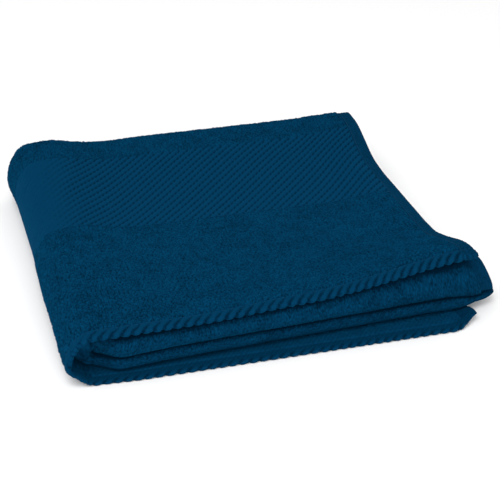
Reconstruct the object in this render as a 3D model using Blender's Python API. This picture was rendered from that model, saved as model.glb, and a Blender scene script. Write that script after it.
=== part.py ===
"""Terry hand towel, folded into quarters along its length and then in half like a book.

Metres, +Z up. The towel lies on z = 0 with its end hems towards -Y, the half fold towards -X and the
sewn side hems towards +X. Its origin is at the middle of its box, on the surface it lies on.

The cloth is laid out once, as strips of a profile in the plane (y, n), where n is the distance from
the middle plane of the pile. Each strip is swept along the two halves: straight runs lie at z_mid +- n,
and at the half fold the same profile turns round the edge line x = 0, z_mid.
"""
import math

import bmesh
import bpy
from mathutils import Vector

# Cloth
CLOTH_T = 0.0040          # terry with its loops on both faces
BORDER_T = 0.0034         # corded border, woven without loops
HEM_T = 0.0026            # turned and sewn hem
PITCH = 0.0047            # from one layer of the pile to the next

# Outer layer, measured from the half fold and from its end hem's edge
LEG_X = 0.226             # half fold to side hem's edge
LEG_Y = 0.245             # end hem's edge to the start of the back fold
END_HEM_W = 0.008
SIDE_HEM_W = 0.0095
BORDER_W = 0.093
BORDER_BACK = 0.027       # corded border to the back fold

# Inner layers
END_STEP = 0.005          # each inner layer's side edge shows this much beyond the next outer one
TUCK_BACK = 0.014         # the tucked end's hem lies this far behind the outer hem's edge
FRONT_FOLD_BACK = 0.010   # the round front fold lies this far behind the outer hem's edge
ASKEW_FRONT = 0.011       # the inner layers lie askew: their front falls back by this much at +X
ASKEW_SIDE = 0.017        # and their side edge comes in by this much at the back

# Shape as it lies
CORNER_LIFT = 0.008       # the top layer's free corner stands up

# Sewing
SEAM_INSET = 0.0015       # thread to the inner edge of its hem
THREAD_W = 0.0008
THREAD_T = 0.00035

GAP = 0.0003              # between pieces that touch
PIVOT_OUT = 0.0002        # hinge line outside the half fold's skin

# Mesh steps
LEG_STEPS = 8
RUN_STEPS = 4
TURN_STEPS = 8

OUTER, TUCKED, THIRD, CORE = 3.5, 2.5, 1.5, 0.5      # layers, in pitches from the middle plane
BACK_CENTRE = (OUTER + CORE) / 2 * PITCH             # both back folds turn about this line
OUTER_SKIN = OUTER * PITCH + CLOTH_T / 2
MID_Z = OUTER_SKIN + GAP / 2
BACK_Y = LEG_Y + (OUTER - CORE) / 2 * PITCH + CLOTH_T / 2
FRONT_FOLD_Y = FRONT_FOLD_BACK + PITCH / 2 + CLOTH_T / 2
LEFT_X = -OUTER_SKIN
CORE_X = LEG_X + 3 * END_STEP
RIGHT_X = CORE_X * (1 - ASKEW_SIDE / LEG_X * FRONT_FOLD_BACK / LEG_Y)      # front fold's outer corner
CENTRE = Vector(((LEFT_X + RIGHT_X) / 2, BACK_Y / 2, 0.0))
PIVOT = Vector((LEFT_X - PIVOT_OUT, BACK_Y / 2, MID_Z))

COLOURS = {
    "terry": ((0.0012, 0.036, 0.090, 1.0), 0.95),
    "border": ((0.0015, 0.041, 0.100, 1.0), 0.80),
    "hem": ((0.0017, 0.039, 0.096, 1.0), 0.82),
    "thread": ((0.0020, 0.045, 0.110, 1.0), 0.60),
}


def clear_scene():
    for item in list(bpy.data.objects):
        bpy.data.objects.remove(item)


def make_material(name):
    colour, roughness = COLOURS[name]
    material = bpy.data.materials.new(name)
    material.use_nodes = True
    shader = material.node_tree.nodes["Principled BSDF"]
    shader.inputs["Base Color"].default_value = colour
    shader.inputs["Roughness"].default_value = roughness
    shader.inputs["Metallic"].default_value = 0.0
    material.diffuse_color = colour
    return material


def make_empty(name, place):
    empty = bpy.data.objects.new(name, None)
    empty.location = place
    bpy.context.scene.collection.objects.link(empty)
    return empty


def smooth(value):
    value = min(max(value, 0.0), 1.0)
    return value * value * (3.0 - 2.0 * value)


def flat(x, y):
    """How far a layer's point at (x, y) lies from the plain pile: nowhere, for a layer that lies true."""
    return Vector((0.0, 0.0, 0.0))


def corner_up(x, y):
    """The top layer rises towards its free front corner."""
    return Vector((0.0, 0.0, CORNER_LIFT * smooth(x / LEG_X) ** 2 * smooth(1.0 - y / LEG_Y)))


def askew(x, y):
    """The inner layers turn a little about the back of the half fold."""
    back = min(max(y / LEG_Y, 0.0), 1.0)
    along = x / LEG_X
    return Vector((-ASKEW_SIDE * along * back, ASKEW_FRONT * along * (1.0 - back), 0.0))


def straight(y_from, y_to, n, steps=RUN_STEPS):
    """Flat run of a profile: rows of (y, n, normal y, normal n)."""
    span = y_to - y_from
    return [(y_from + span * i / steps, n, 0.0, math.copysign(1.0, span)) for i in range(steps + 1)]


def turn(y, n, radius, start, end, side):
    """Round run of a profile about (y, n), from one angle to another, in degrees."""
    rows = []
    for i in range(TURN_STEPS + 1):
        angle = math.radians(start + (end - start) * i / TURN_STEPS)
        c, s = math.cos(angle), math.sin(angle)
        rows.append((y + radius * c, n + radius * s, side * c, side * s))
    return rows


def joined(*runs):
    """One profile from runs that meet end to end, without the doubled rows."""
    rows = list(runs[0])
    for run in runs[1:]:
        rows.extend(run[1:])
    return rows


def along_leg(x_from, x_to, steps=LEG_STEPS):
    return [x_from + (x_to - x_from) * i / steps for i in range(steps + 1)]


def round_fold():
    """Stations of the quarter turn at the half fold, as negative angles."""
    return [-math.pi / 2 * (1 - i / TURN_STEPS) for i in range(TURN_STEPS + 1)]


def place(side, station, y, n, lie):
    """Point of the folded towel: station is x along a leg, or minus the angle round the half fold."""
    if station >= 0.0:
        spot = Vector((station, y, MID_Z + side * (GAP / 2 + n))) + lie(station, y)
    else:
        spot = Vector((n * math.sin(station), y, MID_Z + side * (GAP / 2 + n * math.cos(station))))
    return spot - CENTRE


class Half:
    """One half of the folded towel: its pieces hang on an empty at its joint."""

    def __init__(self, name, side, joint, materials):
        self.name = name
        self.side = side
        self.empty = make_empty(name + "_half", joint)
        self.materials = materials

    def strip(self, name, kind, rows, thickness, stations, lie=flat, shift=0.0):
        """Closed strip of cloth: a profile with a thickness, swept along its stations."""
        mesh = bpy.data.meshes.new(self.name + "_" + name)
        cloth = bmesh.new()
        origin = self.empty.location
        skins = []
        for station in stations:
            line = []
            for y, n, ny, nn in rows:
                pair = []
                for depth in (shift + thickness / 2, shift - thickness / 2):
                    point = place(self.side, station, y + ny * depth, n + nn * depth, lie)
                    pair.append(cloth.verts.new(point - origin))
                line.append(pair)
            skins.append(line)
        last_row = len(rows) - 1
        for near, far in zip(skins, skins[1:]):
            for j in range(last_row):
                for k in (0, 1):
                    cloth.faces.new((near[j][k], near[j + 1][k], far[j + 1][k], far[j][k]))
            for j in (0, last_row):
                cloth.faces.new((near[j][0], near[j][1], far[j][1], far[j][0]))
        for line in (skins[0], skins[-1]):
            for j in range(last_row):
                cloth.faces.new((line[j][0], line[j][1], line[j + 1][1], line[j + 1][0]))
        bmesh.ops.recalc_face_normals(cloth, faces=cloth.faces)
        cloth.to_mesh(mesh)
        cloth.free()
        mesh.materials.append(self.materials[kind])
        piece = bpy.data.objects.new(self.name + "_" + name, mesh)
        piece.parent = self.empty
        bpy.context.scene.collection.objects.link(piece)
        mesh.shade_smooth()
        mesh.set_sharp_from_angle(angle=math.radians(35))
        return piece


def end_zones(edge, layer):
    """The zones of an end of the towel, from its hem's edge to the back: (name, kind, thickness, rows)."""
    n = layer * PITCH
    border_to = edge + LEG_Y - BORDER_BACK
    border_from = border_to - BORDER_W
    hem_to = edge + END_HEM_W
    return [
        ("end_hem", "hem", HEM_T, straight(edge, hem_to, n, 1)),
        ("terry_front", "terry", CLOTH_T, straight(hem_to + GAP, border_from - GAP, n)),
        ("border", "border", BORDER_T, straight(border_from, border_to, n)),
        ("terry_back", "terry", CLOTH_T, straight(border_to + GAP, LEG_Y - GAP, n, 1)),
    ]


def build_outer_layer(half):
    """Layer with the visible end hem and corded border, and the back fold that it runs into."""
    lie = corner_up if half.side > 0 else flat
    n = OUTER * PITCH
    terry_to_x = LEG_X - SIDE_HEM_W - GAP
    back_turn = turn(LEG_Y, BACK_CENTRE, n - BACK_CENTRE, 90.0, -90.0, 1.0)
    for name, kind, thickness, rows in end_zones(0.0, OUTER) + [("back_fold", "terry", CLOTH_T, back_turn)]:
        to_x = LEG_X if name == "end_hem" else terry_to_x
        half.strip("outer_" + name, kind, rows, thickness, along_leg(GAP, to_x), lie)
        half.strip("turn_" + name, kind, rows, thickness, round_fold())
    side_rows = straight(END_HEM_W + GAP, LEG_Y, n, 2 * RUN_STEPS)
    side_x = along_leg(LEG_X - SIDE_HEM_W, LEG_X, 1)
    half.strip("outer_side_hem", "hem", joined(side_rows, back_turn), HEM_T, side_x, lie)
    on_face = half.side * (HEM_T / 2 + GAP + THREAD_T / 2)
    seam_y = END_HEM_W - SEAM_INSET
    end_rows = straight(seam_y - THREAD_W, seam_y, n, 1)
    stations = round_fold() + along_leg(GAP, LEG_X)
    half.strip("end_hem_seam", "thread", end_rows, THREAD_T, stations, lie, on_face)
    seam_x = LEG_X - SIDE_HEM_W + SEAM_INSET
    side_seam_x = along_leg(seam_x, seam_x + THREAD_W, 1)
    half.strip("side_hem_seam", "thread", side_rows, THREAD_T, side_seam_x, lie, on_face)


def inner_legs(half, name, rows, edge_x):
    """An inner layer's terry and the side hem at its free edge."""
    hem_x = edge_x - SIDE_HEM_W
    half.strip(name + "_terry", "terry", rows, CLOTH_T, along_leg(GAP, hem_x - GAP), askew)
    half.strip(name + "_side_hem", "hem", rows, HEM_T, along_leg(hem_x, edge_x, 1), askew)


def build_tucked_layer(half):
    """Layer with the towel's other end, tucked in behind the outer hem."""
    n = TUCKED * PITCH
    edge_x = LEG_X + END_STEP
    hem_x = edge_x - SIDE_HEM_W
    for name, kind, thickness, rows in end_zones(TUCK_BACK, TUCKED):
        to_x = edge_x if name == "end_hem" else hem_x - GAP
        half.strip("tucked_" + name, kind, rows, thickness, along_leg(GAP, to_x), askew)
    side_rows = straight(TUCK_BACK + END_HEM_W + GAP, LEG_Y - GAP, n)
    half.strip("tucked_side_hem", "hem", side_rows, HEM_T, along_leg(hem_x, edge_x, 1), askew)
    turn_rows = straight(TUCK_BACK, LEG_Y - GAP, n)
    half.strip("turn_tucked_layer", "terry", turn_rows, CLOTH_T, round_fold())


def build_inner_layers(half):
    """The two plain layers, the fold that joins them at the front and the inner fold at the back."""
    third, core = THIRD * PITCH, CORE * PITCH
    third_x = LEG_X + 2 * END_STEP
    third_rows = straight(FRONT_FOLD_Y + GAP, LEG_Y - GAP, third)
    core_rows = straight(LEG_Y - GAP, FRONT_FOLD_Y + GAP, core)
    front_turn = turn(FRONT_FOLD_Y, PITCH, PITCH - core, -90.0, -270.0, 1.0)
    inner_turn = turn(LEG_Y, BACK_CENTRE, BACK_CENTRE - third, -90.0, 90.0, -1.0)
    inner_legs(half, "third", third_rows, third_x)
    inner_legs(half, "core", core_rows, CORE_X)
    half.strip("front_fold", "terry", front_turn, CLOTH_T, along_leg(GAP, CORE_X), askew)
    half.strip("inner_back_fold", "terry", inner_turn, CLOTH_T, along_leg(GAP, third_x), askew)
    half.strip("turn_third_layer", "terry", joined(third_rows, inner_turn), CLOTH_T, round_fold())
    half.strip("turn_core_layer", "terry", joined(core_rows, front_turn), CLOTH_T, round_fold())


clear_scene()
cloth_materials = {kind: make_material(kind) for kind in COLOURS}
halves = [
    Half("lower", -1.0, Vector((0.0, 0.0, 0.0)), cloth_materials),
    Half("upper", 1.0, PIVOT - CENTRE, cloth_materials),
]
for towel_half in halves:
    build_outer_layer(towel_half)
    build_tucked_layer(towel_half)
    build_inner_layers(towel_half)
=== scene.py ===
import math

import bpy
import numpy as np
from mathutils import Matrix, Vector


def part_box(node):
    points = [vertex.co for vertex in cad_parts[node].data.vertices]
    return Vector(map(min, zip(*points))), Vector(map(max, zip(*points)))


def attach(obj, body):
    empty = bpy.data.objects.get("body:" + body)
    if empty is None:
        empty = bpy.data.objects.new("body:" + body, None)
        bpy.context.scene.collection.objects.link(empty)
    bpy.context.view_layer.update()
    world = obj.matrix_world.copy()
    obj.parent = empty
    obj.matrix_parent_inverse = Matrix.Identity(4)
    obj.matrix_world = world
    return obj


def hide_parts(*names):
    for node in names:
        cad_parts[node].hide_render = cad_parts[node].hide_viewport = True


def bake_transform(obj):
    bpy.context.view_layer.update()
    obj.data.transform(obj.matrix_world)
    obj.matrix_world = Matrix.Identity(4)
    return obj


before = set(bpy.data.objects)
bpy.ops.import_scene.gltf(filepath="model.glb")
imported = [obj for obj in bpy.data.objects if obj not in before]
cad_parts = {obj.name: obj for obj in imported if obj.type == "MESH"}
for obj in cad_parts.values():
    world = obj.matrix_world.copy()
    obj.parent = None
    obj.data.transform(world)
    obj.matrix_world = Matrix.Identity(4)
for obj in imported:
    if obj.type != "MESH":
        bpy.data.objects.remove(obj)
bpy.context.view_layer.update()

bpy.ops.object.select_all(action="DESELECT")

# ---------------------------------------------------------------------------------------------------
# Outer terry. The towel is one length of cotton, woven with loops on both faces. It is folded into
# quarters along its length and then in half, so one profile of layers runs along both halves and turns
# round the half fold. Each stretch is laid out flat in millimetres, gets its loops, and is folded.
# ---------------------------------------------------------------------------------------------------
MM = 0.001
CAD_GAP = 0.3                                 # the frame's solids stay this far apart


def cad_mm(node):
    """Lowest and highest corner of one of the frame's solids, in millimetres."""
    low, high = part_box(node)
    return np.array(low) / MM, np.array(high) / MM


terry_low, terry_high = cad_mm("lower_outer_terry_front")
hem_low, hem_high = cad_mm("lower_outer_end_hem")
border_low, border_high = cad_mm("lower_outer_border")
FOLD_X = hem_low[0] - CAD_GAP                 # the half fold's edge line
HEM_Y = hem_low[1]                            # front edge of the end hems
CLOTH_T = terry_high[2] - terry_low[2]
PITCH = cad_mm("lower_tucked_terry_front")[0][2] - terry_low[2]
LEG_X = hem_high[0] - FOLD_X                  # half fold to side edge
LEG_Y = cad_mm("lower_outer_terry_back")[1][1] + CAD_GAP - HEM_Y
END_HEM = hem_high[1] - HEM_Y                 # width of the end hem
SIDE_HEM = hem_high[0] - cad_mm("lower_outer_side_hem")[0][0]
BORDER_FROM, BORDER_TO = border_low[1] - HEM_Y, border_high[1] - HEM_Y
OUTER, TUCKED, THIRD, CORE = 3.5 * PITCH, 2.5 * PITCH, 1.5 * PITCH, 0.5 * PITCH
SKIN = OUTER + CLOTH_T / 2                    # middle plane to the outermost skin
MIDDLE_Z = 16.3                               # the lower half is pressed a little flatter
TOP_Z = 33.2                                  # plain height of the top


def ease(start, end, value):
    """Rises smoothly from 0 at start to 1 at end."""
    t = np.clip((value - start) / (end - start), 0.0, 1.0)
    return t * t * (3.0 - 2.0 * t)


def top_height(x, y):
    """Height of the bundle's top: puffed along the half fold and at the back, slack in the middle."""
    slack = TOP_Z - 2.0 * ease(40, 125, y) + (7.2 - 1.3 * (1.0 - ease(20, 90, x))) * ease(130, 246, y)
    puff = 6.2 * np.exp(-((x - 9.0) / 24.0) ** 2) * ease(10, 110, y)
    side = 3.4 * ease(176, 215, x) * ease(20, 110, y) * (1.0 - 0.6 * ease(215, 250, y))
    front = (2.4 * ease(50, 130, x) + 5.6 * ease(120, 232, x) - 0.8) * (1.0 - ease(6, 70, y))
    return slack + puff + side + front


def corner_lift(x, y):
    """How far the top layer's free corner stands up."""
    return 8.4 * ease(110, 226, x) ** 1.3 * (1.0 - ease(4, 72, y))


def side_sag(x, y):
    """How far the top layer's side edge hangs between the lifted corner and the back."""
    return 3.2 * ease(206, 227, x) * ease(50, 90, y) * (1.0 - ease(150, 205, y))


def middle(x, y):
    """Height of the middle plane, which the plump upper fold pushes down along the front."""
    pressed = (1.0 - ease(14, 60, y)) * (3.4 + 2.0 * np.exp(-((x - 8.0) / 22.0) ** 2))
    return MIDDLE_Z - pressed - 3.8 * ease(203, 241, x) * (1.0 - ease(30, 90, y))


def lie_outer(side, x, y):
    """Shift of the outer layer in the plane, from where the flat pile would hold it."""
    if side < 0:
        dx = 6.0 * ease(150, 226, x) * (1.0 - ease(6, 60, y))
        dy = 9.0 * ease(208, 228, x) ** 1.3 * (1.0 - ease(0, 26, y)) - 1.0 * (1.0 - ease(0, 60, y))
        return dx, dy + 1.4 * (1.0 - ease(-2, 26, x)) * (1.0 - ease(0, 50, y))
    back = 6.5 * ease(170, 248, y) * ease(100, 226, x)
    corner = 3.5 * ease(150, 226, x) * (1.0 - ease(20, 70, y))
    dx = back + corner + 1.8 * ease(150, 226, x) * ease(40, 80, y) * (1.0 - ease(130, 180, y))
    recede = 2.8 - 3.4 * ease(100, 200, x) + 7.5 * ease(60, 230, x) - 1.5 * (1.0 - ease(20, 120, x))
    return dx, recede * (1.0 - ease(0, 90, y))


def lie_inner(side, x, y, n):
    """The inner layers lie askew, and their front draws back where it turns round the half fold."""
    along = np.maximum(x, 0.0) / LEG_X
    dx = along * (4.0 - 4.0 * np.clip(y / LEG_Y, 0.0, 1.0) - 13.0 * ease(40, 110, y))
    dx = dx + along * np.where(side > 0, 5.0 - 0.95 * n, 7.5 - 1.3 * n) * (1.0 - ease(40, 110, y))
    front = 1.0 - np.clip(y / LEG_Y, 0.0, 1.0)
    recede = 11.5 * along + 9.5 * (1.0 - ease(-3.0, 15.0, x))
    dy = front * (recede + (0.0 if side < 0 else -2.5 * ease(4, 20, x)))
    corner = ease(214, 240, x) ** 2 * (1.0 - ease(0, 40, y))
    return dx, dy + 5.0 * corner


def hem_drop(y):
    """The lower hem is thinner than the terry behind it, and drops to the surface."""
    return 0.5 * (1.0 - ease(8, 20, y))


def on_leg(side, x, y, n, outer):
    """Places cloth on the flat of a half: x from the half fold, y from the front, n from the middle."""
    dx, dy = lie_outer(side, x, y) if outer else lie_inner(side, x, y, n)
    if side < 0:
        z = middle(x, y) * (1.0 - n / SKIN)
        if outer:
            curl = 5.0 * ease(208, 228, x) ** 1.5 * (1.0 - ease(4, 34, y))
            z = z + curl - hem_drop(y)
    else:
        share = n / SKIN
        lift = corner_lift(x, y) * (1.0 if outer else share)
        z = middle(x, y) * (1.0 - share) + top_height(x, y) * share + lift
        if outer:
            z = z - side_sag(x, y)
    return np.stack([x + dx + FOLD_X, y + dy + HEM_Y, np.maximum(z, 0.0)], -1) * MM


def on_turn(angle, y, n, outer):
    """Places cloth where it turns round the half fold: 0 meets the lower half, pi the upper one."""
    pressed_in = 1.0 - 0.09 * ease(80, 150, y) * (1.0 - ease(215, 245, y))
    narrow_front = 1.0 - 0.27 * np.sin(math.pi * np.clip(angle / 1.5, 0.0, 1.0)) * (1.0 - ease(10, 70, y))
    x = -n * np.sin(angle) * pressed_in * narrow_front
    away = n * np.cos(angle)
    if outer:
        under, over = lie_outer(-1.0, 0.0 * x, y)[1], lie_outer(1.0, 0.0 * x, y)[1]
        dy = under + (over - under) * ease(0.4, 2.8, angle)
    else:
        dy = lie_inner(1.0, x, y, n)[1]
    between = middle(0.0 * x, y)
    z = between - np.where(away > 0, between, top_height(0.0 * x, y) - between) * away / SKIN
    z = z - (hem_drop(y) * np.maximum(np.cos(angle), 0.0) if outer else 0.0)
    return np.stack([x + FOLD_X, y + dy + HEM_Y, np.maximum(z, 0.0)], -1) * MM


def chance(i, j, seed):
    """Repeatable number from 0 to 1 for each cell of a grid."""
    h = (i.astype(np.int64) * 374761393 + j.astype(np.int64) * 668265263 + seed * 982451653) & 0x7FFFFFFF
    h = ((h ^ (h >> 13)) * 1274126177) & 0x7FFFFFFF
    return ((h ^ (h >> 16)) & 0xFFFFFF) / float(0xFFFFFF)


def drift(u, v, size, seed):
    """Smooth random variation from -1 to 1, with lumps of about the given size."""
    a, b = u / size, v / size
    i, j = np.floor(a), np.floor(b)
    fa, fb = a - i, b - j
    fa, fb = fa * fa * (3 - 2 * fa), fb * fb * (3 - 2 * fb)
    low = chance(i, j, seed) * (1 - fa) + chance(i + 1, j, seed) * fa
    high = chance(i, j + 1, seed) * (1 - fa) + chance(i + 1, j + 1, seed) * fa
    return (low * (1 - fb) + high * fb) * 2.0 - 1.0


LOOP = 1.3                                    # spacing of the terry loops
PILE = 1.5                                    # how far loops stand out
TUFT = 0.55                                   # size of a single loop's light or dark spot
FINE_RIB = (2.9, 3.4)                         # spacing of fine slanting ribs along and across


def terry(u, v, seed):
    """Height of the pile from 0 to 1: leaning loops in rows, taller and shorter in soft clumps. Each
    seed gives a pattern of its own."""
    a, b = u / LOOP, v / LOOP
    i, j = np.floor(a), np.floor(b)
    best = np.zeros_like(a)
    for di in (-1, 0, 1):
        for dj in (-1, 0, 1):
            ci, cj = i + di, j + dj
            x = ci + 0.2 + 0.6 * chance(ci, cj, seed)
            y = cj + 0.2 + 0.6 * chance(ci, cj, seed + 7)
            tall = 0.55 + 0.45 * chance(ci, cj, seed + 13)
            reach = (a - x) ** 2 * 2.6 + (b - y) ** 2 * 1.9
            best = np.maximum(best, tall * (1.0 - reach))
    clump = 0.12 * drift(u, v, 4.2, seed + 21) + 0.07 * drift(u, v, 14.0, seed + 22)
    return np.clip(best, 0.0, 1.0) * 0.95 + clump


def fluff(u, v):
    """Light and dark of single loops, from -0.5 to 0.5, finer than their height can show."""
    return chance(np.floor(u / TUFT), np.floor(v / TUFT), 31) - 0.5


def slanting(u, v):
    """Fine slanting ribs, from 0 to 1."""
    return 0.5 + 0.5 * np.cos(2 * math.pi * (u / FINE_RIB[0] + v / FINE_RIB[1]))


def standing_loops(u, v):
    """Loops as they stand on an open face: how far they rise, and their light and dark."""
    pile = terry(u, v, 3)
    return (pile - 0.5) * PILE, pile + 0.45 * fluff(u, v)


def bent_loops(u, v):
    """Loops on a fold, which lie down as the cloth goes round it."""
    rise, pile = standing_loops(u, v)
    return rise * 0.6, pile


def short_loops(u, v):
    """Loops on the lower half's inner face, which its hem's seam pulls short beside it."""
    rise, pile = bent_loops(u, v)
    beside = 1.0 - ease(END_HEM + 5.0, END_HEM + 9.0, v)
    ribs = 0.36 + 0.3 * slanting(u, v) + 0.4 * (pile - 0.5)
    return rise + (0.5 * (ribs - 1.0) - rise) * beside, pile + (ribs - pile) * beside


def pressed_loops(u, v):
    """Loops that lie against another layer: none stands out of the cloth's own thickness."""
    pile = terry(u, v, 5)
    return np.minimum((pile - 1.0) * PILE * 0.8, 0.0), pile + 0.3 * fluff(u, v)


def plain(u, v):
    """A face that another layer hides."""
    return 0.0 * u, 0.0 * u + 0.5


def closed_strip(name, near, far, near_uv, far_uv, near_pile, far_pile):
    """One closed strip from its two skins, each a grid of points; their densities may differ."""
    rows, cols = near.shape[:2]
    rows2, cols2 = far.shape[:2]
    count = rows * cols

    def quads(r, c, start, flip):
        k = np.arange(r * c).reshape(r, c) + start
        a, b, d, e = k[:-1, :-1], k[1:, :-1], k[1:, 1:], k[:-1, 1:]
        order = (e, d, b, a) if flip else (a, b, d, e)
        return np.stack(order, -1).reshape(-1, 4)

    def ring(r, c, start):
        k = np.arange(r * c).reshape(r, c) + start
        return k[0, :], k[:, -1], k[-1, ::-1], k[::-1, 0]

    walls = []
    for side_a, side_b in zip(ring(rows, cols, 0), ring(rows2, cols2, count)):
        i, j = 0, 0
        while i < len(side_a) - 1 or j < len(side_b) - 1:
            step_a = (i + 1) / (len(side_a) - 1) if i < len(side_a) - 1 else 2.0
            step_b = (j + 1) / (len(side_b) - 1) if j < len(side_b) - 1 else 2.0
            if abs(step_a - step_b) < 1e-9:
                walls.append((side_a[i], side_a[i + 1], side_b[j + 1], side_b[j]))
                i, j = i + 1, j + 1
            elif step_a < step_b:
                walls.append((side_a[i], side_a[i + 1], side_b[j]))
                i += 1
            else:
                walls.append((side_a[i], side_b[j + 1], side_b[j]))
                j += 1
    points = np.concatenate([near.reshape(-1, 3), far.reshape(-1, 3)])
    skins = np.concatenate([quads(rows, cols, 0, False), quads(rows2, cols2, count, True)])
    corners = np.concatenate([skins.ravel(), np.array([v for wall in walls for v in wall])])
    sizes = np.concatenate([np.full(len(skins), 4), np.array([len(wall) for wall in walls])])
    starts = np.concatenate([[0], np.cumsum(sizes)[:-1]])
    mesh = bpy.data.meshes.new(name)
    mesh.vertices.add(len(points))
    mesh.vertices.foreach_set("co", points.astype(np.float32).ravel())
    mesh.loops.add(len(corners))
    mesh.loops.foreach_set("vertex_index", corners.astype(np.int32))
    mesh.polygons.add(len(sizes))
    mesh.polygons.foreach_set("loop_start", starts.astype(np.int32))
    mesh.update(calc_edges=True)
    mesh.polygons.foreach_set("use_smooth", np.ones(len(sizes), bool))
    uv = np.concatenate([near_uv.reshape(-1, 2), far_uv.reshape(-1, 2)])[corners]
    mesh.uv_layers.new(name="cloth").data.foreach_set("uv", uv.astype(np.float32).ravel())
    # The pile value sets each point's colour: low values become painted shade, with random tone mixed in.
    pile = mesh.attributes.new("pile", "FLOAT", "POINT")
    pile.data.foreach_set("value", np.concatenate([near_pile.ravel(), far_pile.ravel()]).astype(np.float32))
    rim = np.zeros(len(points), bool)
    for edge in ring(rows, cols, 0) + ring(rows2, cols2, count):
        rim[edge] = True
    ends = np.empty(len(mesh.edges) * 2, np.int32)
    mesh.edges.foreach_get("vertices", ends)
    ends = ends.reshape(-1, 2)
    sharp = rim[ends].all(1) & ((ends[:, 0] < count) == (ends[:, 1] < count))
    mesh.attributes.new("sharp_edge", "BOOLEAN", "EDGE").data.foreach_set("value", sharp)
    mesh.validate()
    piece = bpy.data.objects.new(name, mesh)
    bpy.context.scene.collection.objects.link(piece)
    return piece


PATH_STEP = 0.4                               # spacing of the points along a layer's path


def straight(y_from, y_to, n, n_to=None):
    """Rows of (y, n) along a layer, easing over to another height if it has one."""
    y = np.linspace(y_from, y_to, max(3, int(abs(y_to - y_from) / PATH_STEP)))
    share = ease(0.0, 1.0, np.linspace(0.0, 1.0, len(y)))
    return np.stack([y, n + ((n if n_to is None else n_to) - n) * share], -1)


def profile(*parts, start=0.0):
    """Path of the cloth through the layers: for a share of its length, gives y, n, normal and distance."""
    rows = np.concatenate(parts)
    rows = rows[np.concatenate([[True], np.hypot(*np.diff(rows, axis=0).T) > 1e-6])]
    distance = np.concatenate([[0.0], np.cumsum(np.hypot(*np.diff(rows, axis=0).T))])
    slope = np.gradient(rows, distance, axis=0)
    slope = slope / np.hypot(slope[:, 0], slope[:, 1])[:, None]

    def at(share):
        s = share * distance[-1]
        y, n, ty, tn = (np.interp(s, distance, k) for k in (*rows.T, *slope.T))
        return y, n, -tn, ty, start + s

    return at, distance[-1]


FREE = (1.4, 0.05)                            # a free edge thins to 0.05 of its depth over 1.4 mm
SOFT = (1.0, 0.72)                            # where terry meets flat weave its loops lean over
UV_PER_MM = 0.01                              # the laid-out grid is in decimetres


def weave(name, side, outer, path, x_from, x_to, thickness, spacing, relief, edges, turn_n=OUTER, lip=0.0):
    """Lays one closed strip. side is -1 or 1 for a half, 0 for the turn round the half fold.
    spacing and relief are for its two faces; edges are for its first and last y and its first and last x.
    turn_n is where its layer turns; lip is how far its pattern scallops its first edge."""
    at, length = path
    skins = []
    for face, step, rise in zip((1.0, -1.0), spacing, relief):
        y, n, ny, nn, v = at(np.linspace(0.0, 1.0, max(2, int(round(length / step)) + 1)))
        if side:
            stations = np.linspace(x_from, x_to, max(2, int(round((x_to - x_from) / step)) + 1))
            u = side * (turn_n * math.pi / 2 + stations)
        else:
            stations = np.linspace(0.0, math.pi, 2 * max(8, int(round(math.pi * turn_n / step / 2))))
            u = (stations - math.pi / 2) * turn_n
        along, across = np.meshgrid(u, v, indexing="ij")
        station = np.repeat(stations[:, None], len(v), 1)
        rest_y, rest_n, normal_y, normal_n = (np.repeat(k[None, :], len(u), 0) for k in (y, n, ny, nn))
        full = np.ones_like(along)
        borders = (across - v[0], v[-1] - across, station - stations[0], stations[-1] - station)
        for distance, edge in zip(borders, edges):
            if edge:
                reach, least = edge
                close = np.clip(1.0 - distance / reach, 0.0, 1.0)
                full = np.minimum(full, least + (1.0 - least) * np.sqrt(1.0 - close ** 2))
        bump, pile = rise(along, across)
        depth = face * (thickness / 2 + bump) * full
        scallop = lip * (pile - 0.8) * np.clip(1.0 - (across - v[0]) / 3.0, 0.0, 1.0)
        skin_y, skin_n = rest_y + normal_y * depth - scallop, rest_n + normal_n * depth
        if side:
            place = on_leg(side, station, skin_y, skin_n, outer)
        else:
            place = on_turn(station, skin_y, skin_n, outer)
        skins.append((place, np.stack([along, across], -1) * UV_PER_MM, pile))
    (a, uv_a, pile_a), (b, uv_b, pile_b) = skins
    piece = closed_strip(name, a, b, uv_a, uv_b, pile_a, pile_b)
    if side < 0:
        piece.data.flip_normals()
    return piece


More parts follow.
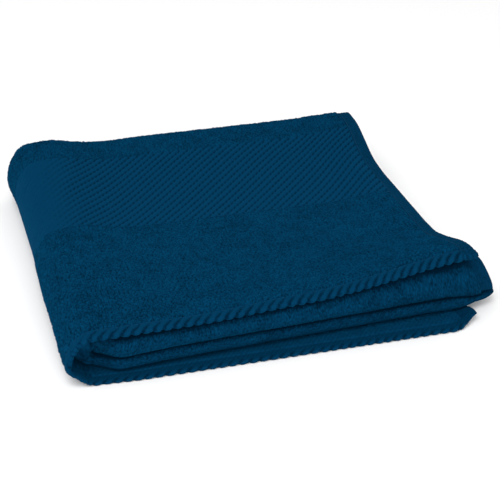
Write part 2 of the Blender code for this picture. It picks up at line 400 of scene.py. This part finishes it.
def cloth_finish(name, deep_painted_shade, tip, roughness, fibre, rough_depth):
    """Matt cotton: deep between the loops as painted shade and lighter at their tips, with fine yarn
    bumps of the given scale and depth, all on the strip's own laid-out grid."""
    material = bpy.data.materials.new(name)
    material.use_nodes = True
    tree = material.node_tree
    nodes, links = tree.nodes, tree.links
    shader = nodes["Principled BSDF"]
    shader.inputs["Roughness"].default_value = roughness
    shader.inputs["Specular IOR Level"].default_value = 0.008
    shader.inputs["Sheen Weight"].default_value = 0.12
    shader.inputs["Sheen Roughness"].default_value = 0.5
    shader.inputs["Sheen Tint"].default_value = (0.0, 0.28, 0.6, 1.0)
    grid = nodes.new("ShaderNodeUVMap")
    grid.uv_map = "cloth"
    pile = nodes.new("ShaderNodeAttribute")
    pile.attribute_name = "pile"
    patches = nodes.new("ShaderNodeTexNoise")
    patches.inputs["Scale"].default_value = 9.0
    patches.inputs["Detail"].default_value = 3.0
    links.new(grid.outputs["UV"], patches.inputs["Vector"])
    level = nodes.new("ShaderNodeMath")
    level.operation = "MULTIPLY_ADD"
    level.inputs[1].default_value = 0.3
    links.new(patches.outputs["Fac"], level.inputs[0])
    links.new(pile.outputs["Fac"], level.inputs[2])
    # Painted shade: the ramp darkens the colour towards the deep one where the pile value is low, in the
    # gaps, grooves, pits and creases.
    ramp = nodes.new("ShaderNodeValToRGB")
    ramp.color_ramp.elements[0].position = 0.15
    ramp.color_ramp.elements[0].color = (*deep_painted_shade, 1.0)
    ramp.color_ramp.elements[1].position = 0.95
    ramp.color_ramp.elements[1].color = (*tip, 1.0)
    links.new(level.outputs["Value"], ramp.inputs["Fac"])
    links.new(ramp.outputs["Color"], shader.inputs["Base Color"])
    yarn = nodes.new("ShaderNodeTexNoise")
    yarn.inputs["Scale"].default_value = fibre
    yarn.inputs["Detail"].default_value = 2.0
    links.new(grid.outputs["UV"], yarn.inputs["Vector"])
    bump = nodes.new("ShaderNodeBump")
    bump.inputs["Strength"].default_value = 0.8
    bump.inputs["Distance"].default_value = rough_depth
    links.new(yarn.outputs["Fac"], bump.inputs["Height"])
    links.new(bump.outputs["Normal"], shader.inputs["Normal"])
    return material


# In each finish the first colour is the painted shade deep in the pile; the second is the cloth's blue at
# the tips.
TERRY_BLUE = cloth_finish("terry_blue", (0.0002, 0.011, 0.028), (0.0008, 0.042, 0.103), 0.95, 260.0, 0.0006)
FINE, MIDDLING, ROUGH = 0.56, 1.0, 4.0        # grid spacings of seen, half seen and hidden faces
INNER_FINE = 0.66                             # and of the lower half's inner face
HALVES = {"lower": -1.0, "upper": 1.0}
BENDING = (13.2, 12.1)                        # the outer layer bends this far below and above the middle
PARTING = (0.015, 0.015)                      # the layers inside it open out flat at the middle


def fasten(piece, material, slot, half, *nodes, reach=PARTING):
    """Gives a strip its finish and its body. One that turns round the half fold gets no body and is fixed
    where it lies.
    """
    piece.data.materials.append(material)
    if half:
        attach(piece, half + "_half")
    else:
        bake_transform(piece)
    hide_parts(*nodes)


SIDE_X = LEG_X - SIDE_HEM                     # the terry ends where the side hem starts
zones = (("front", END_HEM, BORDER_FROM, (FREE, SOFT)), ("back", BORDER_TO, LEG_Y, (SOFT, None)))
for zone, y_from, y_to, (first, last) in zones:
    path = profile(straight(y_from, y_to, OUTER), start=y_from)
    for half, side in HALVES.items():
        spacing = (FINE, ROUGH) if side > 0 else (MIDDLING, INNER_FINE)
        relief = (standing_loops, plain if side > 0 else short_loops)
        piece = weave(f"{half}_{zone}_terry", side, True, path, 0.0, SIDE_X, CLOTH_T, spacing, relief,
                      (first, last, None, SOFT))
        fasten(piece, TERRY_BLUE, "terry", half, f"{half}_outer_terry_{zone}")
    piece = weave(f"turn_{zone}_terry", 0.0, True, path, 0.0, 0.0, CLOTH_T, (FINE, MIDDLING),
                  (standing_loops, bent_loops), (first, last, None, None))
    fasten(piece, TERRY_BLUE, "terry", None, f"lower_turn_terry_{zone}", f"upper_turn_terry_{zone}",
           reach=BENDING)

# ---------------------------------------------------------------------------------------------------
# Corded border. A band without loops near each end of the towel, woven in raised diagonal cords that
# thicker warp cords cross, so they look beaded. It is woven in one with the terry on either side.
# ---------------------------------------------------------------------------------------------------
BORDER_T = border_high[2] - border_low[2]
RIB_X, RIB_Y = 5.9, 6.3                       # spacing of the diagonal cords along and across
BEAD = RIB_X / 2                              # spacing of the warp cords that bead them
CORD_STEP = 0.62                              # grid spacing


def cords(u, v):
    """Height from 0 to 1 of the broad diagonal cords, with a row of pits along each groove."""
    wander = 0.03 * drift(u, v, 30.0, 91)
    groove = 0.5 - 0.5 * np.cos(2 * math.pi * (u / RIB_X - v / RIB_Y + wander))
    pit = 0.5 + 0.5 * np.cos(2 * math.pi * (u / BEAD + 0.25))
    return 1.0 - groove ** 1.6 * (0.45 + 0.55 * pit)


def corded(u, v):
    """The cords, pulled flat where they turn round the half fold, so that the fine weft shows there."""
    pile = cords(u, v)
    pulled_flat = 0.85 * (1.0 - ease(24.0, 52.0, np.abs(u) + 6.0 * drift(u, v, 22.0, 92)))
    weft = 0.76 + 0.10 * np.cos(2 * math.pi * v / 2.1) + 0.16 * (terry(u, v, 19) - 0.5)
    pile = pile + (weft - pile) * pulled_flat + 0.12 * fluff(u, v)
    return 1.2 * (pile - 0.6), pile


CORD_BLUE = cloth_finish("corded_blue", (0.0002, 0.011, 0.029), (0.0006, 0.0315, 0.0795), 0.90, 300.0,
                         0.0004)
path = profile(straight(BORDER_FROM, BORDER_TO, OUTER), start=BORDER_FROM)
for half, side in HALVES.items():
    step = CORD_STEP if side > 0 else CORD_STEP * 1.6
    piece = weave(f"{half}_corded_border", side, True, path, 0.0, SIDE_X, BORDER_T, (step, ROUGH),
                  (corded, plain), (None, None, None, None))
    fasten(piece, CORD_BLUE, "border", half, f"{half}_outer_border")
piece = weave("turn_corded_border", 0.0, True, path, 0.0, 0.0, BORDER_T, (CORD_STEP, MIDDLING),
              (corded, corded), (None, None, None, None))
fasten(piece, CORD_BLUE, "border", None, "lower_turn_border", "upper_turn_border", reach=BENDING)

# ---------------------------------------------------------------------------------------------------
# Back folds. At the back the outer layer turns down and under, and becomes the innermost layer; inside
# it the third layer turns up and becomes the tucked one. Plain terry, folded and not creased hard.
# ---------------------------------------------------------------------------------------------------
BACK_N = (OUTER + CORE) / 2                   # both back folds turn about this line


def round_bend(y, n, radius, start, end):
    """Rows of (y, n) round a fold about (y, n), from one angle to another in degrees."""
    a = np.radians(np.linspace(start, end, 40))
    return np.stack([y + radius * np.cos(a), n + radius * np.sin(a)], -1)


outer_round = round_bend(LEG_Y, BACK_N, OUTER - BACK_N, 90.0, -90.0)
inner_round = round_bend(LEG_Y, BACK_N, BACK_N - THIRD, -90.0, 90.0)
outer_bend = profile(outer_round, start=LEG_Y)
inner_bend = profile(inner_round)
END_STEP = 5.0                                # each inner layer's side edge lies this much further out
on_layer = {}                                 # the folds and hems that belong to each sheet
for half, side in HALVES.items():
    piece = weave(f"{half}_back_bend", side, True, outer_bend, 0.0, SIDE_X, CLOTH_T, (FINE, ROUGH),
                  (bent_loops, plain), (None, None, None, SOFT))
    fasten(piece, TERRY_BLUE, "terry", half, f"{half}_outer_back_fold")
    piece = weave(f"{half}_inner_back_bend", side, False, inner_bend, 0.0, LEG_X + 2 * END_STEP, CLOTH_T,
                  (MIDDLING, MIDDLING), (plain, plain), (None, None, None, SOFT))
    fasten(piece, TERRY_BLUE, "terry", half, f"{half}_inner_back_fold")
    on_layer[half, "third"] = [piece]
piece = weave("turn_back_bend", 0.0, True, outer_bend, 0.0, 0.0, CLOTH_T, (FINE, MIDDLING),
              (bent_loops, bent_loops), (None, None, None, None))
fasten(piece, TERRY_BLUE, "terry", None, "lower_turn_back_fold", "upper_turn_back_fold")

# ---------------------------------------------------------------------------------------------------
# End hems. The towel's ends are turned twice and sewn down. The roll is crossed by the same diagonal
# cords as the border, and the pull of the seam makes them stand out like the strands of a rope.
# ---------------------------------------------------------------------------------------------------
HEM_T = hem_high[2] - hem_low[2]
HEM_STEP = 0.55                               # grid spacing
STRAND, SLANT = 6.1, 7.4                      # spacing of the strands along and across
LIP = 0.6                                     # how far they scallop the free edge
SEWN = (0.8, 0.5)                             # the seam presses the roll's inner edge down


def fine_ribs(u, v):
    """Flat weave with fine slanting ribs, as inside the hems."""
    return 0.42 + 0.35 * slanting(u, v) + 0.4 * (terry(u, v, 18) - 0.5)


def hem_cords(u, v):
    """Slanting strands, deepest at the free edge, where the roll pulls them in."""
    across = np.clip(np.abs(v) / END_HEM, 0.0, 1.0)
    corner = ease(-2.0, 1.0, np.abs(u) - OUTER * math.pi / 2 - SIDE_X)
    depth = 0.30 + 0.75 * (1.0 - ease(0.3, 1.0, across))
    pulled_flat = 1.0 - 0.75 * (1.0 - ease(12.0, 28.0, np.abs(u)))
    crowd = np.sign(u) * 1.6 * ease(160.0, 250.0, np.abs(u)) + 0.10 * drift(u, v, 26.0, 95)
    groove = 0.5 - 0.5 * np.cos(2 * math.pi * (u / STRAND - v / SLANT + crowd))
    pit = 0.5 + 0.5 * np.cos(2 * math.pi * (u / BEAD + v / 2.4))
    edge_pit = (1.0 - pulled_flat) * pit * (1.0 - ease(0.8, 3.0, np.abs(v)))
    pile = 1.0 - groove ** 1.5 * depth * pulled_flat * (0.8 + 0.2 * pit) - 0.5 * edge_pit
    pile = pile + (fine_ribs(u, v) - pile) * corner
    fuzz = (0.34 + 0.30 * (1.0 - pulled_flat)) * (terry(u, v, 17) - 0.5)
    crown = np.sin(math.pi * np.clip(0.25 + across * 0.75, 0.0, 1.0)) ** 0.7
    return 0.25 * crown + 0.95 * (pile - 0.75) + fuzz, pile + 1.5 * fuzz + 0.35 * fluff(u, v)


def hem_within(u, v):
    """The roll's inner face: the strands wind round its edge and fade into fine ribs."""
    rise, pile = hem_cords(u, -v)
    ribs = fine_ribs(u, v)
    inward = ease(2.0, 5.0, v)
    return rise + (0.5 * (ribs - 0.8) - rise) * inward, pile + (ribs - pile) * inward


HEM_BLUE = cloth_finish("hem_blue", (0.0002, 0.010, 0.026), (0.0006, 0.029, 0.073), 0.92, 300.0, 0.0005)
path = profile(straight(0.0, END_HEM, OUTER))
for half, side in HALVES.items():
    piece = weave(f"{half}_rolled_hem", side, True, path, 0.0, LEG_X, HEM_T, (HEM_STEP, HEM_STEP),
                  (hem_cords, hem_within), (FREE, SEWN, None, FREE), lip=LIP)
    fasten(piece, HEM_BLUE, "hem", half, f"{half}_outer_end_hem")
    on_layer[half, "outer"] = [piece]
turn_hem = weave("turn_rolled_hem", 0.0, True, path, 0.0, 0.0, HEM_T, (HEM_STEP, HEM_STEP),
                 (hem_cords, hem_within), (FREE, SEWN, None, None), lip=LIP)
fasten(turn_hem, HEM_BLUE, "hem", None, "lower_turn_end_hem", "upper_turn_end_hem", reach=BENDING)

# ---------------------------------------------------------------------------------------------------
# Core layer and front fold. The innermost layer comes forward from the back fold and turns back on
# itself in a plump round fold, which shows as a soft band between the two hems. Plain terry.
# ---------------------------------------------------------------------------------------------------
FOLD_FRONT = 4.6                              # front of the round fold, behind the hem's edge
BULB = 4.3                                    # radius of the fold's centre line
BULB_Y = FOLD_FRONT + CLOTH_T / 2 + BULB
SETTLE = 15.0                                 # the plump fold thins to the third layer over this
CORE_X = LEG_X + 3 * END_STEP
core_run = straight(LEG_Y, BULB_Y, CORE)
bulb = round_bend(BULB_Y, CORE + BULB, BULB, -90.0, -270.0)
settle = straight(BULB_Y, BULB_Y + SETTLE, CORE + 2 * BULB, THIRD)
core_start = LEG_Y + math.pi * (OUTER - BACK_N)
bulb_start = core_start + LEG_Y - BULB_Y
core_path = profile(core_run, start=core_start)
bulb_path = profile(bulb, settle, start=bulb_start)


def fold_loops(u, v):
    """Loops round the fold, splayed apart on its outside; painted shade darkens the creases beside it and
    the lower fold.
    """
    stretch = np.where(u > 0.0, 1.5 + 1.1 * ease(90.0, 230.0, np.abs(u)), 1.1)
    round_path = v - bulb_start
    rise, pile = standing_loops(u * 1.15 - 0.9 * round_path, round_path * stretch)
    round_fold = np.degrees(round_path / BULB)
    # Painted shade in the creases above and below the round fold.
    painted_crease_shade = 1.0 - ease(8.0, 48.0, round_fold) * (1.0 - ease(122.0, 158.0, round_fold))
    # Painted shade: the lower half's fold is set darker than the upper one's; fluff adds random tone.
    shade = np.where(u > 0.0, 0.48, 0.43) + 0.35 * fluff(u - 0.9 * round_path, 1.6 * round_path)
    return rise * 0.42, shade + 0.7 * (pile - 0.62) - 0.8 * painted_crease_shade


for half, side in HALVES.items():
    core = weave(f"{half}_core_terry_layer", side, False, core_path, 0.0, CORE_X - SIDE_HEM, CLOTH_T,
                 (MIDDLING, ROUGH), (pressed_loops, plain), (None, None, None, SOFT), CORE)
    fasten(core, TERRY_BLUE, "terry", half, f"{half}_core_terry")
    piece = weave(f"{half}_plump_fold", side, False, bulb_path, 0.0, CORE_X - SIDE_HEM, CLOTH_T,
                  (FINE, MIDDLING), (fold_loops, plain), (None, None, None, SOFT), CORE)
    fasten(piece, TERRY_BLUE, "terry", half, f"{half}_front_fold")
core_round = profile(core_run, bulb, settle, start=core_start)
piece = weave("turn_core_terry_layer", 0.0, False, core_round, 0.0, 0.0, CLOTH_T, (MIDDLING, MIDDLING),
              (pressed_loops, plain), (None, None, None, None), PITCH)
fasten(piece, TERRY_BLUE, "terry", None, "lower_turn_core_layer", "upper_turn_core_layer")

# ---------------------------------------------------------------------------------------------------
# Third and tucked layers. Behind the round fold the cloth runs to the inner back fold and comes forward
# again under the outer layer, where the towel's other end, with its own border and hem, lies tucked in.
# ---------------------------------------------------------------------------------------------------
third_run = straight(BULB_Y + SETTLE, LEG_Y, THIRD)
INNER_TURN_STEP = 2.0                         # grid spacing of the turns inside the pile
TUCK_BACK = cad_mm("lower_tucked_end_hem")[0][1] - HEM_Y
TUCK_Y = TUCK_BACK + 6.0                      # the hem itself is pushed a little further in
tucked_zones = (
    ("terry_back", LEG_Y, BORDER_TO + TUCK_BACK, CLOTH_T, TERRY_BLUE, "terry"),
    ("border", BORDER_TO + TUCK_BACK, BORDER_FROM + TUCK_BACK, BORDER_T, CORD_BLUE, "border"),
    ("terry_front", BORDER_FROM + TUCK_BACK, TUCK_Y + END_HEM, CLOTH_T, TERRY_BLUE, "terry"),
    ("end_hem", TUCK_Y + END_HEM, TUCK_Y, HEM_T, HEM_BLUE, "hem"),
)
for half, side in HALVES.items():
    piece = weave(f"{half}_third_terry_layer", side, False, profile(third_run), 0.0,
                  LEG_X + 2 * END_STEP - SIDE_HEM, CLOTH_T, (ROUGH, ROUGH), (plain, plain),
                  (None, None, None, SOFT), THIRD)
    fasten(piece, TERRY_BLUE, "terry", half, f"{half}_third_terry")
    for zone, y_from, y_to, thickness, material, slot in tucked_zones:
        is_hem = zone == "end_hem"
        to_x = LEG_X + END_STEP - (0.0 if is_hem else SIDE_HEM)
        step = MIDDLING if is_hem else ROUGH
        edges = (None, FREE, None, FREE) if is_hem else (None, None, None, SOFT)
        path = profile(straight(y_from, y_to, TUCKED))
        piece = weave(f"{half}_tucked_{zone}_layer", side, False, path, 0.0, to_x, thickness, (step, step),
                      (plain, plain), edges, TUCKED)
        fasten(piece, material, slot, half, f"{half}_tucked_{zone}")
        if zone == "terry_front":
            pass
        elif is_hem:
            on_layer[half, "tucked"] = [piece]
piece = weave("turn_third_terry_layer", 0.0, False, profile(third_run, inner_round), 0.0, 0.0, CLOTH_T,
              (INNER_TURN_STEP, INNER_TURN_STEP), (plain, plain), (None, None, None, None), THIRD)
fasten(piece, TERRY_BLUE, "terry", None, "lower_turn_third_layer", "upper_turn_third_layer")
piece = weave("turn_tucked_terry_layer", 0.0, False, profile(straight(LEG_Y, TUCK_Y, TUCKED)), 0.0, 0.0,
              CLOTH_T, (INNER_TURN_STEP, INNER_TURN_STEP), (plain, plain), (None, FREE, None, None), TUCKED)
fasten(piece, TERRY_BLUE, "terry", None, "lower_turn_tucked_layer", "upper_turn_tucked_layer")

# ---------------------------------------------------------------------------------------------------
# Side hems. The selvedges are turned and sewn flat, without loops. Every layer of the pile shows one at
# its free side edge, and the folds carry it round with them.
# ---------------------------------------------------------------------------------------------------
FLAT_YARN = 1.3                               # spacing of the yarns in the flat weave
SELVEDGE_STEP, HIDDEN_STEP = 0.6, 1.2         # grid spacings of edges that show and edges that don't
PRESSED = (1.0, 0.7)                          # beside the terry the hem is pressed down


def flat_woven(u, v):
    """Flat weave with a little nap."""
    weft = 0.5 + 0.25 * np.cos(2 * math.pi * v / FLAT_YARN) * np.cos(2 * math.pi * u / FLAT_YARN)
    pile = 0.4 * weft + 0.6 * terry(u, v, 17)
    return (pile - 0.5) * 0.6, pile + 0.3 * fluff(u, v)


outer_side = profile(straight(END_HEM, LEG_Y, OUTER), outer_round)
core_side = profile(core_run, bulb, settle)
third_side = profile(third_run, inner_round)
tucked_side = profile(straight(LEG_Y, TUCK_Y + END_HEM, TUCKED))
layers = (("outer", True, outer_side, LEG_X, (FREE, None), None),
          ("core", False, core_side, CORE_X, (None, None), "third_terry"),
          ("third", False, third_side, LEG_X + 2 * END_STEP, (None, None), "core_terry"),
          ("tucked", False, tucked_side, LEG_X + END_STEP, (None, None), "third_terry"))
for half, side in HALVES.items():
    for layer, outer, path, to_x, (first, last), below in layers:
        step = HIDDEN_STEP if layer in ("third", "tucked") else SELVEDGE_STEP
        piece = weave(f"{half}_{layer}_selvedge", side, outer, path, to_x - SIDE_HEM, to_x, HEM_T,
                      (step, step), (flat_woven, flat_woven), (first, last, PRESSED, FREE))
        fasten(piece, HEM_BLUE, "hem", half, f"{half}_{layer}_side_hem")
        on_layer.setdefault((half, layer), []).append(piece)

# ---------------------------------------------------------------------------------------------------
# Hem seams. One row of lockstitch in matching thread, sunk a little into the cloth, holds each hem.
# ---------------------------------------------------------------------------------------------------
STITCH, STITCH_GAP, THREAD_R = 2.3, 0.5, 0.28
SEAM_IN = 1.3                                 # thread to the inner edge of its hem
PROUD = 0.1                                   # the end hems' thread stands out a little more
RINGS, SIDES = 5, 6                           # mesh of one stitch


def stitch_row(name, side, start, end, spot):
    """Separate short stitches from start to end. spot gives x, y and n from way along, off and out."""
    points, faces = [], []
    count = int((end - start) / (STITCH + STITCH_GAP))
    for k in range(count):
        base = len(points)
        for i in range(RINGS):
            t = i / (RINGS - 1)
            swell = math.sqrt(max(1.0 - (2.0 * t - 1.0) ** 2, 0.04))
            for j in range(SIDES):
                a = 2 * math.pi * j / SIDES
                way = start + k * (STITCH + STITCH_GAP) + t * STITCH
                points.append((way, THREAD_R * 1.3 * swell * math.cos(a), THREAD_R * swell * math.sin(a)))
        for i in range(RINGS - 1):
            for j in range(SIDES):
                a, b = base + i * SIDES + j, base + i * SIDES + (j + 1) % SIDES
                faces.append((a, b, b + SIDES, a + SIDES))
        faces.append(tuple(base + j for j in reversed(range(SIDES))))
        faces.append(tuple(base + (RINGS - 1) * SIDES + j for j in range(SIDES)))
    way, off, out = np.array(points).T
    place = spot(way, off, out)
    mesh = bpy.data.meshes.new(name)
    mesh.from_pydata([tuple(p) for p in place], [], faces)
    if side < 0:
        mesh.flip_normals()
    mesh.shade_smooth()
    piece = bpy.data.objects.new(name, mesh)
    bpy.context.scene.collection.objects.link(piece)
    return piece


THREAD_BLUE = bpy.data.materials.new("thread_blue")
THREAD_BLUE.use_nodes = True
thread = THREAD_BLUE.node_tree.nodes["Principled BSDF"]
thread.inputs["Base Color"].default_value = (0.0010, 0.036, 0.088, 1.0)
thread.inputs["Roughness"].default_value = 0.8
thread.inputs["Specular IOR Level"].default_value = 0.05
seam_y = END_HEM - SEAM_IN
seam_x = LEG_X - SIDE_HEM + SEAM_IN
seam_n = OUTER + HEM_T / 2
# Each row of stitches stops just short of where its cloth ends.
for half, side in HALVES.items():
    end_row = stitch_row(f"{half}_end_hem_stitches", side, 0.4, LEG_X - 1.0,
                         lambda way, off, out: on_leg(side, way, seam_y + off, seam_n + PROUD + out, True))
    fasten(end_row, THREAD_BLUE, "thread", half, f"{half}_end_hem_seam")
    side_row = stitch_row(f"{half}_side_hem_stitches", side, END_HEM + 0.5, LEG_Y,
                          lambda way, off, out: on_leg(side, seam_x - off, way, seam_n + out, True))
    fasten(side_row, THREAD_BLUE, "thread", half, f"{half}_side_hem_seam")
turn_row = stitch_row("turn_end_hem_stitches", 1.0, 0.3, math.pi * seam_n - 0.3,
                      lambda way, off, out: on_turn(way / seam_n, seam_y + off, seam_n + PROUD + out, True))
fasten(turn_row, THREAD_BLUE, "thread", None, reach=BENDING)

# ---------------------------------------------------------------------------------------------------
# Studio. A plain white floor, an even white surround, and two soft round lamps at the front left, a
# large high one and a weaker one low down that lights the folds.
# ---------------------------------------------------------------------------------------------------
bpy.ops.mesh.primitive_plane_add(size=8.0, location=(0.0, 0.0, -0.0003))
floor = bpy.context.active_object
floor.name = "studio_floor"
WHITE_PAPER = bpy.data.materials.new("white_paper")
WHITE_PAPER.use_nodes = True
paper = WHITE_PAPER.node_tree.nodes["Principled BSDF"]
paper.inputs["Base Color"].default_value = (0.92, 0.92, 0.92, 1.0)
paper.inputs["Roughness"].default_value = 0.9
floor.data.materials.append(WHITE_PAPER)

world = bpy.data.worlds.new("studio_surround")
world.use_nodes = True
world.node_tree.nodes["Background"].inputs["Color"].default_value = (1.0, 1.0, 1.0, 1.0)
world.node_tree.nodes["Background"].inputs["Strength"].default_value = 0.8
bpy.context.scene.world = world
bpy.context.scene.view_settings.view_transform = "Standard"


def soft_lamp(name, place, size, power):
    """A round lamp that points at the towel."""
    data = bpy.data.lights.new(name, "AREA")
    data.shape = "DISK"
    data.size = size
    data.energy = power
    lamp = bpy.data.objects.new(name, data)
    lamp.location = place
    lamp.rotation_mode = "QUATERNION"
    lamp.rotation_quaternion = (-Vector(place)).to_track_quat("-Z", "Y")
    bpy.context.scene.collection.objects.link(lamp)


soft_lamp("key_lamp", (-0.6, -0.9, 1.5), 1.2, 18.0)
soft_lamp("front_lamp", (-0.2, -1.3, 0.45), 0.8, 6.5)

# Camera, level with the horizon, looking down on the towel from the front left.
CAMERA_PLACE = (-0.214270, -0.804486, 0.455360)
CAMERA_AZIMUTH, CAMERA_ELEVATION = math.radians(-15.741), math.radians(28.448)
back = Vector((math.sin(CAMERA_AZIMUTH) * math.cos(CAMERA_ELEVATION),
               -math.cos(CAMERA_AZIMUTH) * math.cos(CAMERA_ELEVATION), math.sin(CAMERA_ELEVATION)))
camera = bpy.data.objects.new("studio_camera", bpy.data.cameras.new("studio_camera"))
camera.data.lens = 104.54
camera.data.sensor_width = 36.0
camera.data.clip_start = 0.05
camera.location = CAMERA_PLACE
camera.rotation_mode = "QUATERNION"
camera.rotation_quaternion = (-back).to_track_quat("-Z", "Y")
bpy.context.scene.collection.objects.link(camera)
bpy.context.scene.camera = camera

bpy.context.view_layer.update()
